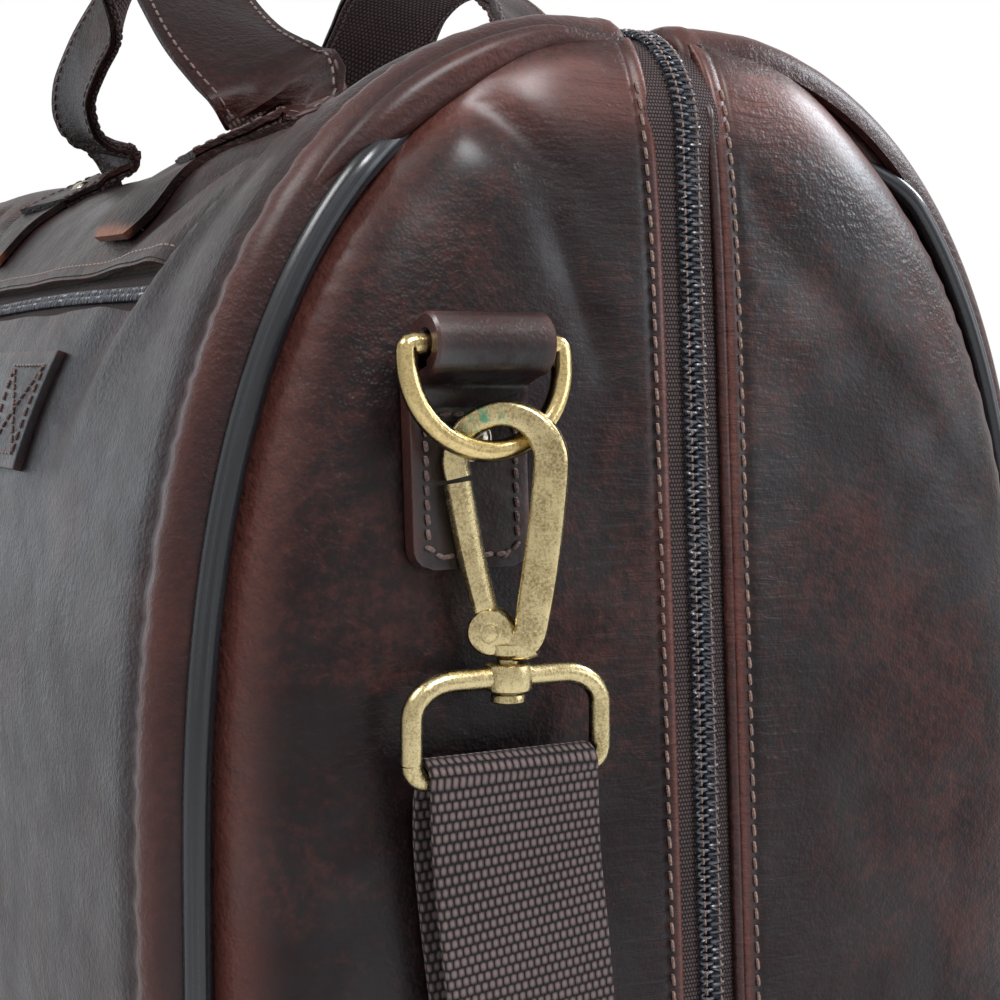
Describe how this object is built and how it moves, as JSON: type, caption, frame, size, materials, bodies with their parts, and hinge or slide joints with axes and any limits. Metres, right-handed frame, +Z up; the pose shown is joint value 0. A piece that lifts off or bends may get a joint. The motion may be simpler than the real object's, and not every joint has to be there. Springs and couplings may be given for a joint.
{
  "type": "travel bag",
  "caption": "Barrel-shaped leather travel bag with zipped top, twin carrying handles, front zip pocket and a webbing shoulder strap on end hooks.",
  "frame": {"origin": "middle of the bounding box on the floor plane", "axes": "+Z up, +X along the bag towards its right end, -Y towards the front wall with the pocket"},
  "size_m": [0.5206, 0.2386, 0.3522],
  "materials": {
    "body_leather": "waxed",
    "strap_leather": "satin",
    "piping": "gloss",
    "lining": "matte",
    "webbing": "matte",
    "tape": "matte",
    "coil": "satin",
    "board": "matte",
    "rivet": "antique",
    "brass": "antique"
  },
  "bodies": {
    "bag": {"front_panel": "body_leather", "rear_panel": "body_leather", "base_panel": "strap_leather", "end_right_front": "body_leather", "end_right_rear": "body_leather", "end_left_front": "body_leather", "end_left_rear": "body_leather", "piping_right": "piping", "piping_left": "piping", "lining_front": "lining", "lining_rear": "lining", "base_board": "board", "zip_tape": "tape", "zip_coil_front": "coil", "zip_coil_rear": "coil", "zip_end_patches": "body_leather", "pocket_tape": "tape", "pocket_coil": "coil", "pocket_pouch": "lining", "front_strap": "strap_leather", "front_handle_tails": "strap_leather", "rear_handle_tails": "strap_leather", "handle_rivets": "rivet", "ring_tab_right": "strap_leather", "ring_tab_left": "strap_leather", "tab_rivets": "rivet", "shoulder_strap": "webbing"},
    "front_handle": {"front_handle_leather": "strap_leather", "front_handle_webbing": "webbing"},
    "rear_handle": {"rear_handle_leather": "strap_leather", "rear_handle_webbing": "webbing"},
    "ring_right": {"ring_right": "brass", "frame_right": "brass", "strap_drop_right": "webbing"},
    "hook_right": {"hook_right": "brass"},
    "gate_right": {"gate_right": "brass"},
    "ring_left": {"ring_left": "brass", "frame_left": "brass", "strap_drop_left": "webbing"},
    "hook_left": {"hook_left": "brass"},
    "gate_left": {"gate_left": "brass"},
    "main_slider": {"main_slider": "brass"},
    "main_pull": {"main_pull": "brass"},
    "pocket_slider": {"pocket_slider": "brass"},
    "pocket_pull": {"pocket_pull": "brass"},
    "strap_slide": {"strap_slide": "brass"}
  },
  "joints": [
    {"name": "front_handle_fold", "type": "hinge", "parent": "bag", "child": "front_handle", "pos_m": [0, -0.0413, 0.275], "axis": [1, 0, 0], "range_deg": [-12, 70], "deforming": ["front_handle_leather", "front_handle_webbing"]},
    {"name": "rear_handle_fold", "type": "hinge", "parent": "bag", "child": "rear_handle", "pos_m": [0, 0.0347, 0.275], "axis": [-1, 0, 0], "range_deg": [-12, 70], "deforming": ["rear_handle_leather", "rear_handle_webbing"]},
    {"name": "ring_right_swing", "type": "hinge", "parent": "bag", "child": "ring_right", "pos_m": [0.2494, -0.0613, 0.214], "axis": [0, -1, 0], "range_deg": [0, 40], "deforming": ["strap_drop_right"]},
    {"name": "hook_right_swivel", "type": "hinge", "parent": "ring_right", "child": "hook_right", "pos_m": [0.25196, -0.0575, 0.14856], "axis": [0, 0, 1], "range_deg": [0, 4]},
    {"name": "gate_right_press", "type": "hinge", "parent": "hook_right", "child": "gate_right", "pos_m": [0.25008, -0.06009, 0.15756], "axis": [-0.809, 0.5878, 0], "range_deg": [0, 22], "stiffness_Nm_per_rad": 0.02},
    {"name": "ring_left_swing", "type": "hinge", "parent": "bag", "child": "ring_left", "pos_m": [-0.2494, -0.0613, 0.214], "axis": [0, 1, 0], "range_deg": [0, 40], "deforming": ["strap_drop_left"]},
    {"name": "hook_left_swivel", "type": "hinge", "parent": "ring_left", "child": "hook_left", "pos_m": [-0.25196, -0.0575, 0.14856], "axis": [0, 0, -1], "range_deg": [0, 4]},
    {"name": "gate_left_press", "type": "hinge", "parent": "hook_left", "child": "gate_left", "pos_m": [-0.25008, -0.06009, 0.15756], "axis": [-0.809, -0.5878, 0], "range_deg": [0, 22], "stiffness_Nm_per_rad": 0.02},
    {"name": "main_slider_run", "type": "slide", "parent": "bag", "child": "main_slider", "axis": [0.063, 0, 0.998], "range_m": [0, 0.175]},
    {"name": "main_pull_swing", "type": "hinge", "parent": "main_slider", "child": "main_pull", "pos_m": [-0.24984, -0.0033, 0.07426], "axis": [0, 1, 0], "range_deg": [0, 120]},
    {"name": "pocket_slider_run", "type": "slide", "parent": "bag", "child": "pocket_slider", "axis": [1, 0, 0], "range_m": [0, 0.24]},
    {"name": "pocket_pull_swing", "type": "hinge", "parent": "pocket_slider", "child": "pocket_pull", "pos_m": [-0.126, -0.09568, 0.23003], "axis": [-1, 0, 0], "range_deg": [0, 120]},
    {"name": "strap_slide_run", "type": "slide", "parent": "bag", "child": "strap_slide", "axis": [-1, 0, 0], "range_m": [-0.1, 0.28]}
  ]
}
